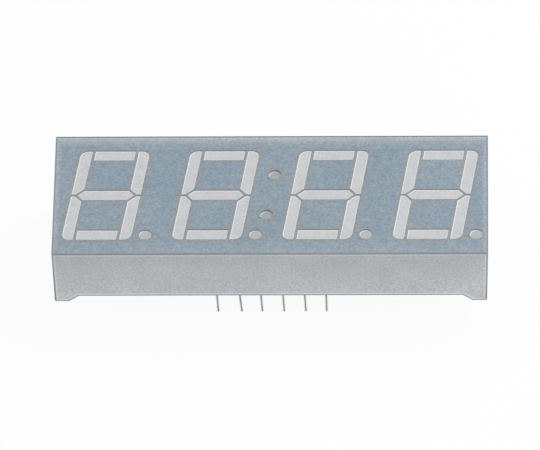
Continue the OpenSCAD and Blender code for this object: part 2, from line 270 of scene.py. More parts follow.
def at_window(face):
    """Whether a face is part of the wall of a window or of the cup behind it."""
    middle = face.calc_center_median()
    within = abs(middle.x) < fill_high.x and abs(middle.y) < fill_high.y
    return within and abs(face.normal.z) < DRAFTED


def case_piece():
    """The moulding with its edges eased and marked, and ink, drawn dark as painted shade, on the
    top of its window walls.
    """
    bm = merged_copy("reflector_housing")
    bm.verts.layers.float.new("dark_crest")
    bm.verts.layers.float.new("painted_highlight")
    rounded = bmesh.ops.bevel(
        bm,
        geom=outer_edges(bm),
        offset=EDGE_RADIUS,
        segments=BEVEL_STEPS,
        affect="EDGES",
        clamp_overlap=True,
    )
    mark_edges(bm, set(rounded["verts"]))
    # Ink that ran over a window's edge stains the top of its wall, in the dark tone of painted
    # shade
    walls = [f for f in bm.faces if at_window(f) and max(v.co.z for v in f.verts) > fill_high.z]
    around = {part for face in walls for part in (*face.verts, *face.edges)}
    bmesh.ops.bisect_plane(
        bm,
        geom=walls + list(around),
        plane_co=(0, 0, ink_low.z - INK_RUN),
        plane_no=(0, 0, 1),
        dist=WELD,
    )
    bead_and_painted_shade = bm.loops.layers.float.new("bead_and_painted_shade")
    for face in bm.faces:
        stained = at_window(face) and face.calc_center_median().z > ink_low.z - INK_RUN
        face.material_index = int(stained)
        for corner in face.loops:
            corner[bead_and_painted_shade] = float(stained)
    return bm


# How far from the far, near and side edges the print starts to thin, and where it is thinnest
FAR_THIN = (2.4 * MM, 0.25 * MM)
NEAR_THIN = (2.0 * MM, 0.3 * MM)
SIDE_THIN = (0.8 * MM, 0.2 * MM)


def screen_ink():
    """Two-part screen ink, blue-grey and satin, flecked by the mesh it came through. It is dark in
    the bead round the film and as painted shade at the windows, greyer close to the windows,
    and thinner towards the film's edges."""
    material, tree, place = new_material("screen_printed_ink")
    clouds = add(
        tree, "ShaderNodeTexNoise", {"Vector": place, "Scale": 1 / (0.9 * MM), "Detail": 3.0}
    )
    drifts = add(
        tree, "ShaderNodeTexNoise", {"Vector": place, "Scale": 1 / (9 * MM), "Detail": 1.0}
    )
    # Pigment grains and mesh marks are under 0.1 mm across, drawn 0.24 mm across so that they show
    flecks = add(
        tree, "ShaderNodeTexNoise", {"Vector": place, "Scale": 1 / (0.24 * MM), "Detail": 2.0}
    )
    colour = two_tones(tree, clouds, (0.34, 0.66), "919fb0", "98aab1")
    tone = two_tones(tree, drifts, (0.35, 0.65), "f6f8fa", "ffffff")
    grain = two_tones(tree, flecks, (0.34, 0.66), "dfe2e3", "ffffff")
    near = add(tree, "ShaderNodeAttribute", attribute_name="near").outputs["Fac"]
    near = add(tree, "ShaderNodeMath", [near, 0.95], operation="MULTIPLY")
    colour = add(
        tree,
        "ShaderNodeMix",
        {"Factor": near, "A": colour, "B": linear("9b9fa2")},
        data_type="RGBA",
    )
    at = add(tree, "ShaderNodeSeparateXYZ", [place]).outputs
    far = add(
        tree,
        "ShaderNodeMapRange",
        {
            "Value": at["Y"],
            "From Min": ink_high.y - FAR_THIN[0],
            "From Max": ink_high.y - FAR_THIN[1],
        },
    )
    far = add(tree, "ShaderNodeMath", [far, 2.4], operation="POWER")
    front = add(
        tree,
        "ShaderNodeMapRange",
        {
            "Value": at["Y"],
            "From Min": ink_low.y + NEAR_THIN[0],
            "From Max": ink_low.y + NEAR_THIN[1],
            "To Max": 0.2,
        },
    )
    side = add(tree, "ShaderNodeMath", [at["X"]], operation="ABSOLUTE")
    sides = add(
        tree,
        "ShaderNodeMapRange",
        {
            "Value": side,
            "From Min": ink_high.x - SIDE_THIN[0],
            "From Max": ink_high.x - SIDE_THIN[1],
            "To Max": 0.6,
        },
    )
    thin = add(tree, "ShaderNodeMath", [far, sides], operation="MAXIMUM")
    thin = add(tree, "ShaderNodeMath", [thin, front], operation="MAXIMUM")
    colour = add(
        tree,
        "ShaderNodeMix",
        {"Factor": thin, "A": colour, "B": linear("bfc4c8")},
        data_type="RGBA",
    )
    for veil in (tone, grain):
        colour = add(
            tree,
            "ShaderNodeMix",
            {"Factor": 1.0, "A": colour, "B": veil},
            data_type="RGBA",
            blend_type="MULTIPLY",
        )
    # The bead round the film is ink; the same dark tone at the windows' edges and on their walls is
    # painted shade
    bead_and_painted_shade = add(tree, "ShaderNodeAttribute", attribute_name="bead_and_painted_shade").outputs["Fac"]
    colour = add(
        tree,
        "ShaderNodeMix",
        {"Factor": bead_and_painted_shade, "A": colour, "B": linear("6f7578")},
        data_type="RGBA",
    )
    bump = add(tree, "ShaderNodeBump", {"Height": flecks, "Strength": 0.35, "Distance": 0.008 * MM})
    rough = add(tree, "ShaderNodeMapRange", {"Value": flecks, "To Min": 0.5, "To Max": 0.62})
    film = add(
        tree,
        "ShaderNodeBsdfPrincipled",
        {"Base Color": colour, "Roughness": rough, "IOR": 1.5, "Normal": bump},
    )
    add(tree, "ShaderNodeOutputMaterial", {"Surface": film})
    return material


ink = screen_ink()
case = finish_piece(case_piece(), "moulded_case", [moulded_polycarbonate(), ink])
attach(case, "root")
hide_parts("reflector_housing")


# ---------------------------------------------------------------------------------------------
# Face print: one pass of blue-grey ink over the face, masked at every window. Surface tension
# rounds every edge, and the ink lies in a darker bead round the film. The far and right edges of
# each opening are painted dark as the shade of the window's wall.

BEAD_ROUND = 0.02 * MM
# How far in from an edge its dark band stays dark, and where it ends: painted shade at a window, a
# bead round the film
WINDOW_SHADE_BAND = (0.1 * MM, 0.135 * MM)
OUTER_BEAD = (0.14 * MM, 0.24 * MM)
# How dark the bead is all round the film, and how dark the painted shade is on the far and right
# sides of a window
ROUND_BEAD = 0.6
FAR_PAINTED_SHADE = 0.95
RIGHT_PAINTED_SHADE = 0.05
FIELD_CELL = 0.3 * MM
# The greying near a window starts this far from it, and is whole at a third of that
NEAR_REACH = 0.5 * MM
NEAR_GAIN = 1.5
STRAIGHT = math.radians(1)
# The least cosine that a mitre is drawn out for
SHARPEST_MITRE = 0.35


def loops_at(bm, height, tolerance=0.001 * MM):
    """The closed outlines of the level faces at a height, each a list of points in order."""
    level = {
        f
        for f in bm.faces
        if f.normal.z > 0.99 and abs(f.calc_center_median().z - height) < tolerance
    }
    after = {}
    for edge in bm.edges:
        if sum(f in level for f in edge.link_faces) == 1:
            for a, b in (edge.verts, reversed(edge.verts)):
                after.setdefault(a, []).append(b)
    loops = []
    unused = dict.fromkeys(after)
    while unused:
        first = unused.popitem()[0]
        loop = [first]
        step = after[first][0]
        while step is not first:
            loop.append(step)
            unused.pop(step, None)
            step = next(v for v in after[step] if v is not loop[-2])
        loops.append([v.co.copy() for v in loop])
    return loops


def signed_area(loop):
    """An outline's area, negative where it runs clockwise."""
    return sum(a.x * b.y - b.x * a.y for a, b in zip(loop, loop[1:] + loop[:1])) / 2


def side_normals(loop):
    """The outward direction of each side of a counter-clockwise outline, from its first point."""
    ways = [(b - a).to_2d().normalized() for a, b in zip(loop, loop[1:] + loop[:1])]
    return [Vector((way.y, -way.x)) for way in ways]


def offset_loop(loop, distance):
    """A counter-clockwise outline moved outwards by a distance, with its corners mitred."""
    normals = side_normals(loop)
    moved = []
    for here, first, second in zip(loop, normals[-1:] + normals[:-1], normals):
        out = (first + second).normalized()
        reach = distance / max(out.dot(first), SHARPEST_MITRE)
        moved.append(Vector((here.x + out.x * reach, here.y + out.y * reach, here.z)))
    return moved


def tidy_loop(loop, shortest=0.004 * MM):
    """The outline counter-clockwise, without repeated points or points along a straight side."""
    if signed_area(loop) < 0:
        loop = loop[::-1]
    kept = [p for p, q in zip(loop, loop[1:] + loop[:1]) if (p - q).length > shortest]
    corners = []
    for before, here, ahead in zip(kept[-1:] + kept[:-1], kept, kept[1:] + kept[:1]):
        if (here - before).to_2d().angle((ahead - here).to_2d()) > STRAIGHT:
            corners.append(here)
    return corners


def middle_of(loop):
    """The mean of an outline's points."""
    return sum(loop, Vector()) / len(loop)


def inside(point, loop):
    """Whether a point lies within a closed outline."""
    crossed = False
    for a, b in zip(loop, loop[1:] + loop[:1]):
        if (a.y > point.y) != (b.y > point.y):
            if point.x < (b.x - a.x) * (point.y - a.y) / (b.y - a.y) + a.x:
                crossed = not crossed
    return crossed


def in_hole(point, holes):
    """Whether a point lies in one of the holes, each its least and greatest x and its outline."""
    return any(low < point.x < high and inside(point, loop) for low, high, loop in holes)


face_bm = merged_copy("printed_face")
face_loops = [tidy_loop(loop) for loop in loops_at(face_bm, ink_high.z)]
face_bm.free()
face_outline = max(face_loops, key=signed_area)
window_loops = [loop for loop in face_loops if loop is not face_outline]
window_loops.sort(key=lambda loop: (round(middle_of(loop).x, 5), round(middle_of(loop).y, 5)))


def film_section(bead_and_painted_shade):
    """The film's edge as (distance in from it, height, share of the darkness of its bead round the
    film and of its painted shade at a window).
    """
    top = ink_high.z
    section = [(0, ink_low.z, 1), (0, top - BEAD_ROUND, 1)]
    for turn in (30, 60, 90):
        a = math.radians(turn)
        section.append((BEAD_ROUND * (1 - math.cos(a)), top - BEAD_ROUND * (1 - math.sin(a)), 1))
    return section + [(bead_and_painted_shade[0], top, 1), (bead_and_painted_shade[1], top, 0)]


def film_edge(bm, layer, loop, way, section, weights):
    """Strips of faces along one edge of the film, and the outline where they end."""
    rings = []
    for distance, height, _ in section:
        ring = offset_loop(loop, way * distance)
        rings.append([bm.verts.new((p.x, p.y, height)) for p in ring])
    count = len(loop)
    for row in range(len(rings) - 1):
        lower, upper = rings[row], rings[row + 1]
        for i in range(count):
            j = (i + 1) % count
            face = bm.faces.new((lower[i], lower[j], upper[j], upper[i]))
            for corner, step in zip(face.loops, (row, row, row + 1, row + 1)):
                corner[layer] = section[step][2] * weights[i]
    return [v.co.copy() for v in rings[-1]]


def points_along(loops, step=0.08 * MM):
    """A search tree of points set closely along closed outlines."""
    points = []
    for loop in loops:
        for a, b in zip(loop, loop[1:] + loop[:1]):
            count = max(1, math.ceil((b - a).length / step))
            points += [a.lerp(b, i / count) for i in range(count)]
    tree = kdtree.KDTree(len(points))
    for i, point in enumerate(points):
        tree.insert(point, i)
    tree.balance()
    return tree


def field_points(holes, rims):
    """A grid over the face, so that what fades with distance from the windows can follow it."""
    columns = int(2 * ink_high.x / FIELD_CELL)
    rows = int(2 * ink_high.y / FIELD_CELL)
    points = []
    for i in range(1, columns):
        for j in range(1, rows):
            x = ink_high.x * (2 * i / columns - 1)
            y = ink_high.y * (2 * j / rows - 1)
            point = Vector((x, y, ink_high.z))
            if rims.find(point)[2] >= 0.5 * FIELD_CELL and not in_hole(point, holes):
                points.append(point.to_2d())
    return points


def face_film():
    """Rounded edges, beaded round the film and painted dark with shade at each window, and the flat
    field between them.
    """
    bm = bmesh.new()
    layer = bm.loops.layers.float.new("bead_and_painted_shade")
    weights = [ROUND_BEAD + (1 - ROUND_BEAD) * max(0, n.y) for n in side_normals(face_outline)]
    ends = [film_edge(bm, layer, face_outline, -1, film_section(OUTER_BEAD), weights)]
    section = film_section(WINDOW_SHADE_BAND)
    for loop in window_loops:
        ways = side_normals(loop)
        # At a window the dark band is painted shade: strongest on the far side and faint on the
        # right, the sides away from the key lamp
        weights = [FAR_PAINTED_SHADE * max(0, n.y) ** 2 + RIGHT_PAINTED_SHADE * max(0, n.x) for n in ways]
        ends.append(film_edge(bm, layer, loop, 1, section, weights))
    points, sides = [], []
    for loop in ends:
        start = len(points)
        points += [p.to_2d() for p in loop]
        sides += [(start + i, start + (i + 1) % len(loop)) for i in range(len(loop))]
    holes = [(min(p.x for p in h), max(p.x for p in h), h) for h in ends[1:]]
    points += field_points(holes, points_along(ends))
    # The field is all that lies inside the sides, which is output type 1, without the windows
    flat, _, faces, *_ = geometry.delaunay_2d_cdt(points, sides, [], 1, 1e-9)
    corners = [bm.verts.new((p.x, p.y, ink_high.z)) for p in flat]
    for face in faces:
        middle = sum((flat[i] for i in face), Vector((0, 0))) / len(face)
        if not in_hole(middle, holes):
            bm.faces.new([corners[i] for i in face])
    bmesh.ops.delete(bm, geom=[v for v in bm.verts if not v.link_faces], context="VERTS")
    bmesh.ops.remove_doubles(bm, verts=bm.verts, dist=WELD)
    bmesh.ops.recalc_face_normals(bm, faces=bm.faces)
    # How near each point is to a window: 1 close to its edge, 0 from the reach outwards
    windows = points_along(window_loops)
    near = bm.verts.layers.float.new("near")
    for vert in bm.verts:
        left = 1 - windows.find(vert.co)[2] / NEAR_REACH
        vert[near] = min(1.0, max(0.0, NEAR_GAIN * left))
    return bm


film = finish_piece(face_film(), "face_print", [ink])
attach(film, "root")
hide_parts("printed_face")


# ---------------------------------------------------------------------------------------------
# Circuit board: woven glass in epoxy, drilled and routed. It shows faintly through the thin
# epoxy at the back. It and all that it carries, but for the leads, keep the frame's own shapes.

THREAD_SPACING = 0.5 * MM


def dress(name, material):
    """Gives a CAD node its finish."""
    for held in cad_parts[name].material_slots:
        held.material = material


def glass_epoxy():
    """Natural glass-epoxy laminate: yellow-green, glossy, with the weave just under its skin."""
    material, tree, place = new_material("glass_epoxy_laminate")
    threads = [
        add(
            tree,
            "ShaderNodeTexWave",
            {"Vector": place, "Scale": 1 / (3 * THREAD_SPACING), "Distortion": 0.6, "Detail": 1.0},
            bands_direction=axis,
        ).outputs["Fac"]
        for axis in ("X", "Y")
    ]
    weave = add(tree, "ShaderNodeMath", threads, operation="MULTIPLY")
    colour = add(
        tree,
        "ShaderNodeMix",
        {"Factor": weave, "A": linear("a9ad86"), "B": linear("c6c8a6")},
        data_type="RGBA",
    )
    bump = add(tree, "ShaderNodeBump", {"Height": weave, "Strength": 0.3, "Distance": 0.01 * MM})
    board = add(
        tree,
        "ShaderNodeBsdfPrincipled",
        {"Base Color": colour, "Roughness": 0.34, "IOR": 1.54, "Normal": bump},
    )
    add(tree, "ShaderNodeOutputMaterial", {"Surface": board})
    return material


dress("circuit_board", glass_epoxy())


# ---------------------------------------------------------------------------------------------
# Copper: etched foil on both faces of the board, with plated links, gold-flashed so that the
# bond wires take to it.


def patchy_metal(name, tones, grain, rough, relief):
    """A plated or soldered metal: two tones in patches, a range of roughness and a fine relief."""
    material, tree, place = new_material(name)
    patches = add(
        tree,
        "ShaderNodeTexNoise",
        {"Vector": place, "Scale": 1 / grain, "Detail": 3.0, "Roughness": 0.6},
    )
    colour = two_tones(tree, patches, (0.3, 0.7), *tones)
    bump = add(tree, "ShaderNodeBump", {"Height": patches, "Strength": 0.4, "Distance": relief})
    rough = add(
        tree, "ShaderNodeMapRange", {"Value": patches, "To Min": rough[0], "To Max": rough[1]}
    )
    metal = add(
        tree,
        "ShaderNodeBsdfPrincipled",
        {"Base Color": colour, "Metallic": 1.0, "Roughness": rough, "Normal": bump},
    )
    add(tree, "ShaderNodeOutputMaterial", {"Surface": metal})
    return material


gold_flash = patchy_metal(
    "gold_flashed_copper", ("b98a52", "d6ab6e"), 0.3 * MM, (0.2, 0.45), 0.002 * MM
)
dress("top_copper", gold_flash)
dress("bottom_copper", gold_flash)


# ---------------------------------------------------------------------------------------------
# Leads: twelve lengths of bright-tinned round wire, coined flat where they grip the board and
# sheared to length. Handling has left each a little out of line.

# How far out of line, in millimetres along the row, each lead leaves the fill and ends
PUSHED = [
    (0.0, 0.19), (0.02, 0.38), (0.0, 0.21), (0.02, 0.2), (0.0, 0.16), (0.0, 0.03),
    (0.0, -0.05), (0.02, 0.08), (-0.02, 0.04), (0.0, 0.07), (0.02, 0.12), (0.0, -0.04),
]
LEAD_SIDES = 20
LEAD_STATIONS = 110
CHAMFER = 0.1 * MM
COINING = 0.25 * MM
pin_names = sorted(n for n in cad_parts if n.startswith("pin_"))
lead_low, lead_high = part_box(pin_names[0])
lead_radius = (lead_high.y - lead_low.y) / 2


def lead_axis(name):
    """Where a lead stands on the board."""
    low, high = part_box(name)
    return ((low + high) / 2).to_2d()


def tin_plate():
    """Bright tin over copper wire, drawn in faint lines. Its grey straight on is a painted
    reflection of dark surroundings, and its near-white towards its flanks a painted reflection
    where light glances off it."""
    material, tree, place = new_material("bright_tin_plate")
    along = add(tree, "ShaderNodeMapping", {"Vector": place, "Scale": (1.0, 1.0, 0.08)})
    # Drawing lines are a few micrometres wide, drawn 0.05 mm apart so that they show
    lines = add(
        tree, "ShaderNodeTexNoise", {"Vector": along, "Scale": 1 / (0.05 * MM), "Detail": 2.0}
    )
    stains = add(
        tree, "ShaderNodeTexNoise", {"Vector": place, "Scale": 1 / (0.5 * MM), "Detail": 2.0}
    )
    colour = two_tones(tree, stains, (0.3, 0.7), "818284", "979899")
    bump = add(tree, "ShaderNodeBump", {"Height": lines, "Strength": 0.4, "Distance": 0.004 * MM})
    rough = add(tree, "ShaderNodeMapRange", {"Value": stains, "To Min": 0.24, "To Max": 0.36})
    # Lit and shaded copies of the tin, mixed by the angle it is seen at: both tones are painted
    # reflections
    painted_dark_core = add(
        tree,
        "ShaderNodeBsdfPrincipled",
        {"Base Color": colour, "Metallic": 1.0, "Roughness": rough, "Normal": bump},
    )
    bright = add(
        tree,
        "ShaderNodeBsdfPrincipled",
        {"Base Color": linear("f4f4f4"), "Metallic": 1.0, "Roughness": 0.22, "Normal": bump},
    )
    glance = add(tree, "ShaderNodeLayerWeight").outputs["Facing"]
    glance = add(
        tree,
        "ShaderNodeMapRange",
        {"Value": glance, "From Min": 0.345, "From Max": 0.42},
        interpolation_type="SMOOTHSTEP",
    )
    metal = add(tree, "ShaderNodeMixShader", [glance, painted_dark_core, bright])
    add(tree, "ShaderNodeOutputMaterial", {"Surface": metal})
    return material


def new_growth(name, inputs):
    """A Geometry Nodes tree with named inputs, each given as (name, socket type, value)."""
    tree = bpy.data.node_groups.new(name, "GeometryNodeTree")
    tree.interface.new_socket("Geometry", in_out="INPUT", socket_type="NodeSocketGeometry")
    tree.interface.new_socket("Geometry", in_out="OUTPUT", socket_type="NodeSocketGeometry")
    for label, kind, value in inputs:
        tree.interface.new_socket(label, in_out="INPUT", socket_type=kind).default_value = value
    return tree, add(tree, "NodeGroupInput").outputs


def grow(mesh, tree, values=()):
    """Runs a tree on a mesh with the given input values and returns the result as a plain piece."""
    name = mesh.name
    piece = bpy.data.objects.new(name, mesh)
    bpy.context.scene.collection.objects.link(piece)
    modifier = piece.modifiers.new("growth", "NODES")
    modifier.node_group = tree
    for item in tree.interface.items_tree:
        if item.in_out == "INPUT" and item.name in values:
            modifier[item.identifier] = values[item.name]
    ready = piece.evaluated_get(bpy.context.evaluated_depsgraph_get())
    result = bpy.data.meshes.new_from_object(ready)
    piece.modifiers.remove(modifier)
    piece.data = result
    bpy.data.meshes.remove(mesh)
    result.name = name
    result.set_sharp_from_angle(angle=SHARP)
    return piece


def wire_lead(material):
    """A straight wire, leaning out of line, chamfered at its tip and coined flat in the board."""
    size = "NodeSocketFloat"
    tree, given = new_growth(
        "wire_lead",
        [
            ("Axis", "NodeSocketVector", (0, 0, 0)),
            ("Exit Push", size, 0.0),
            ("Tip Push", size, 0.0),
            ("Tip", size, lead_low.z),
            ("Top", size, lead_high.z),
            ("Radius", size, lead_radius),
            ("Chamfer", size, CHAMFER),
            ("Exit", size, fill_low.z + 0.05 * MM),
            ("Coined Width", size, lead_high.x - lead_low.x),
            ("Coined Thickness", size, 1.2 * lead_radius),
        ],
    )
    line = add(
        tree,
        "GeometryNodeCurvePrimitiveLine",
        {
            "Start": add(tree, "ShaderNodeCombineXYZ", {"Z": given["Top"]}),
            "End": add(tree, "ShaderNodeCombineXYZ", {"Z": given["Tip"]}),
        },
    )
    line = add(tree, "GeometryNodeResampleCurve", {"Curve": line, "Count": LEAD_STATIONS})
    at = add(tree, "ShaderNodeSeparateXYZ", [add(tree, "GeometryNodeInputPosition")]).outputs
    # The chamfer takes the wire down to half its diameter at the tip
    chamfer_top = add(tree, "ShaderNodeMath", [given["Tip"], given["Chamfer"]], operation="ADD")
    thick = add(
        tree,
        "ShaderNodeMapRange",
        {"Value": at["Z"], "From Min": given["Tip"], "From Max": chamfer_top, "To Min": 0.5},
    )
    ring = add(
        tree,
        "GeometryNodeCurvePrimitiveCircle",
        {"Resolution": LEAD_SIDES, "Radius": given["Radius"]},
    )
    wire = add(
        tree,
        "GeometryNodeCurveToMesh",
        {"Curve": line, "Profile Curve": ring, "Scale": thick, "Fill Caps": True},
    )
    # Coined flat inside the board, and outside it pushed to its place along the row
    coined_from = add(tree, "ShaderNodeMath", [given["Exit"], COINING], operation="ADD")
    coined = add(
        tree,
        "ShaderNodeMapRange",
        {"Value": at["Z"], "From Min": given["Exit"], "From Max": coined_from},
        interpolation_type="SMOOTHSTEP",
    )
    diameter = add(tree, "ShaderNodeMath", [given["Radius"], 2.0], operation="MULTIPLY")
    shaped = []
    for axis, span in (("X", "Coined Width"), ("Y", "Coined Thickness")):
        full = add(tree, "ShaderNodeMath", [given[span], diameter], operation="DIVIDE")
        more = add(tree, "ShaderNodeMath", [full, 1.0], operation="SUBTRACT")
        scale = add(tree, "ShaderNodeMath", [coined, more, 1.0], operation="MULTIPLY_ADD")
        shaped.append(add(tree, "ShaderNodeMath", [at[axis], scale], operation="MULTIPLY"))
    push = add(
        tree,
        "ShaderNodeMapRange",
        {
            "Value": at["Z"],
            "From Min": given["Exit"],
            "From Max": given["Tip"],
            "To Min": given["Exit Push"],
            "To Max": given["Tip Push"],
        },
    )
    loose = add(tree, "ShaderNodeMath", [1.0, coined], operation="SUBTRACT")
    shaped[0] = add(tree, "ShaderNodeMath", [push, loose, shaped[0]], operation="MULTIPLY_ADD")
    moved = add(tree, "ShaderNodeCombineXYZ", {"X": shaped[0], "Y": shaped[1], "Z": at["Z"]})
    wire = add(
        tree,
        "GeometryNodeSetPosition",
        {"Geometry": wire, "Position": moved, "Offset": given["Axis"]},
    )
    wire = add(tree, "GeometryNodeSetShadeSmooth", {"Geometry": wire, "Shade Smooth": True})
    wire = add(tree, "GeometryNodeRealizeInstances", [wire])
    wire = add(tree, "GeometryNodeSetMaterial", {"Geometry": wire, "Material": material})
    add(tree, "NodeGroupOutput", [wire])
    return tree


drawn_wire = wire_lead(tin_plate())
for number, (name, (leaves, ends)) in enumerate(zip(pin_names, PUSHED), 1):
    axis = lead_axis(name)
    lead = grow(
        bpy.data.meshes.new(f"lead_{number:02d}"),
        drawn_wire,
        {"Axis": (axis.x, axis.y, 0.0), "Exit Push": leaves * MM, "Tip Push": ends * MM},
    )
    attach(lead, "root")
    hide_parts(name)


# ---------------------------------------------------------------------------------------------
# Solder: a tin alloy that wets each lead as it melts and is drawn up into the plated hole, where
# it sets with a cone left under the board.

tin_solder = patchy_metal(
    "tin_solder", ("a9abad", "c4c5c6"), 0.2 * MM, (0.15, 0.4), 0.004 * MM
)
dress("solder_joints", tin_solder)


# ---------------------------------------------------------------------------------------------
# Light emitters: sawn crystals set in dots of silver-filled adhesive and joined to the board by
# aluminium wire.


def sawn_crystal():
    """Sawn gallium phosphide: amber, hard and shiny, scratched by the saw."""
    material, tree, place = new_material("sawn_gallium_phosphide")
    # Saw scratches are about 0.005 mm wide, drawn 0.03 mm wide so that they show
    scratches = add(
        tree, "ShaderNodeTexNoise", {"Vector": place, "Scale": 1 / (0.03 * MM), "Detail": 2.0}
    )
    colour = add(
        tree,
        "ShaderNodeMix",
        {"Factor": scratches, "A": linear("a8702c"), "B": linear("c8963f")},
        data_type="RGBA",
    )
    rough = add(tree, "ShaderNodeMapRange", {"Value": scratches, "To Min": 0.15, "To Max": 0.5})
    crystal = add(
        tree, "ShaderNodeBsdfPrincipled", {"Base Color": colour, "Roughness": rough, "IOR": 3.2}
    )
    add(tree, "ShaderNodeOutputMaterial", {"Surface": crystal})
    return material


crystal = sawn_crystal()
silver_paste = patchy_metal(
    "silver_filled_adhesive", ("8f9092", "a8a9aa"), 0.05 * MM, (0.4, 0.7), 0.003 * MM
)
drawn_aluminium = patchy_metal(
    "drawn_aluminium", ("d2d3d5", "e2e3e4"), 0.02 * MM, (0.15, 0.3), 0.0005 * MM
)
dress("die_attach", silver_paste)
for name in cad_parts:
    if name.startswith("die_") and name != "die_attach":
        dress(name, crystal)
    if name.startswith("bond_wires_"):
        dress(name, drawn_aluminium)


# ---------------------------------------------------------------------------------------------
# Epoxy: one pour of milky casting resin fills the cups from behind, covers the board and closes
# the back. It wets the wall of each window and shrinks a little in the middle, most in the colon.
# At the back it climbs the pocket's walls and the leads, and the board shows through it faintly.

# The resin stands this far above its nominal level in the cups, and climbs their walls a little
WINDOW_RISE = 0.03 * MM
WINDOW_CLIMB = 0.025 * MM
WINDOW_REACH = 0.16 * MM
WINDOW_RINGS = 5
WINDOW_CURVE = 2.5
# How far it sinks in the dots, how grey it is painted there as shade, and the share of a dip that
# the wall holds
POINT_SINK = 0.05 * MM
COLON_SINK = 0.15 * MM
POINT_SHADE = 0.5
COLON_SHADE = 0.85
HELD_SHARE = 0.3
CUP_BACK_SHARE = 0.62
POOL_DEPTH = 1.9 * MM
COLLAR_SIDES = 28
COLLAR_RINGS = 8
COLLAR_CURVE = 2.6
# A collar's rim is sunk this far into the pool
COLLAR_ROOT = 0.02 * MM
COLLAR_WELD = 0.002 * MM
LEADS_A_ROW = 6
row_end = lead_axis(pin_names[LEADS_A_ROW - 1])
lead_spacing = (row_end - lead_axis(pin_names[0])).x / (LEADS_A_ROW - 1)
row_distance = (lead_axis(pin_names[-1]) - lead_axis(pin_names[0])).y


def milky_epoxy(name, alpha):
    """Cast epoxy with a diffusing filler: glossy, white-grey, cloudy where its mixing swirled. It
    has a painted highlight along the wall of each window, and painted shade that greys the sunk
    dots."""
    material, tree, place = new_material(name)
    clouds = add(
        tree, "ShaderNodeTexNoise", {"Vector": place, "Scale": 1 / (1.2 * MM), "Detail": 3.0}
    )
    # Filler clumps are too fine to see, drawn 0.24 mm across so that they show
    clumps = add(
        tree, "ShaderNodeTexNoise", {"Vector": place, "Scale": 1 / (0.24 * MM), "Detail": 2.0}
    )
    colour = two_tones(tree, clouds, (0.34, 0.66), "c7cacd", "d0d0d0")
    # The first mark greys the sunk dots as painted shade, the second is a painted highlight along
    # each window's wall
    for attribute, tint in (("deep", "a2abb0"), ("painted_rim_highlight", "f1f2f2")):
        mark = add(tree, "ShaderNodeAttribute", attribute_name=attribute).outputs["Fac"]
        colour = add(
            tree,
            "ShaderNodeMix",
            {"Factor": mark, "A": colour, "B": linear(tint)},
            data_type="RGBA",
        )
    grain = two_tones(tree, clumps, (0.34, 0.66), "f2f2f2", "ffffff")
    colour = add(
        tree,
        "ShaderNodeMix",
        {"Factor": 1.0, "A": colour, "B": grain},
        data_type="RGBA",
        blend_type="MULTIPLY",
    )
    bump = add(tree, "ShaderNodeBump", {"Height": clumps, "Strength": 0.3, "Distance": 0.008 * MM})
    rough = add(tree, "ShaderNodeMapRange", {"Value": clumps, "To Min": 0.3, "To Max": 0.42})
    resin = add(
        tree,
        "ShaderNodeBsdfPrincipled",
        {"Base Color": colour, "Roughness": rough, "IOR": 1.53, "Alpha": alpha, "Normal": bump},
    )
    add(tree, "ShaderNodeOutputMaterial", {"Surface": resin})
    return material


def window_plug(bm, loop):
    """One cup's fill: a wall that narrows towards the board and a top that dips like a dish."""
    deep = bm.verts.layers.float["deep"]
    painted_rim_highlight = bm.verts.layers.float["painted_rim_highlight"]
    centre = middle_of(loop)
    wide = max(p.x for p in loop) - min(p.x for p in loop)
    tall = max(p.y for p in loop) - min(p.y for p in loop)
    # Only the dots are as wide as tall, and the colon's are nearer the middle than the points
    sink, shade = 0, 0
    if abs(wide - tall) < 0.05 * wide:
        is_colon = abs(centre.y) < 0.5 * ink_high.y
        sink, shade = (COLON_SINK, COLON_SHADE) if is_colon else (POINT_SINK, POINT_SHADE)
    # The sunk dots are also painted grey as shade in their deeper cups, the colon's most
    level = fill_high.z + WINDOW_RISE - sink
    back = [(centre + (p - centre) * CUP_BACK_SHARE).to_2d() for p in loop]
    rings = [([Vector((*p, fill_low.z + POOL_DEPTH)) for p in back], 0)]
    for i in range(WINDOW_RINGS + 1):
        share = i / WINDOW_RINGS
        climb = (WINDOW_CLIMB + HELD_SHARE * sink) * (1 - share) ** WINDOW_CURVE
        ring = offset_loop(loop, -WINDOW_REACH * share)
        rings.append(([Vector((p.x, p.y, level + climb)) for p in ring], 1 - share))
    rows = []
    # Each ring's share of the painted highlight, whole at the wall and none at the reach
    for ring, light in rings:
        row = [bm.verts.new(p) for p in ring]
        for vert in row:
            vert[deep] = shade
            vert[painted_rim_highlight] = light
        rows.append(row)
    count = len(loop)
    for lower, upper in zip(rows, rows[1:]):
        for i in range(count):
            j = (i + 1) % count
            bm.faces.new((lower[i], lower[j], upper[j], upper[i]))
    bm.faces.new(rows[-1])
    bm.faces.new(rows[0][::-1])


def fill_plugs():
    """The fill of every cup as one mesh."""
    bm = bmesh.new()
    bm.verts.layers.float.new("deep")
    bm.verts.layers.float.new("painted_rim_highlight")
    for loop in window_loops:
        window_plug(bm, loop)
    mesh = bpy.data.meshes.new("cast_epoxy")
    bm.to_mesh(mesh)
    bm.free()
    return mesh


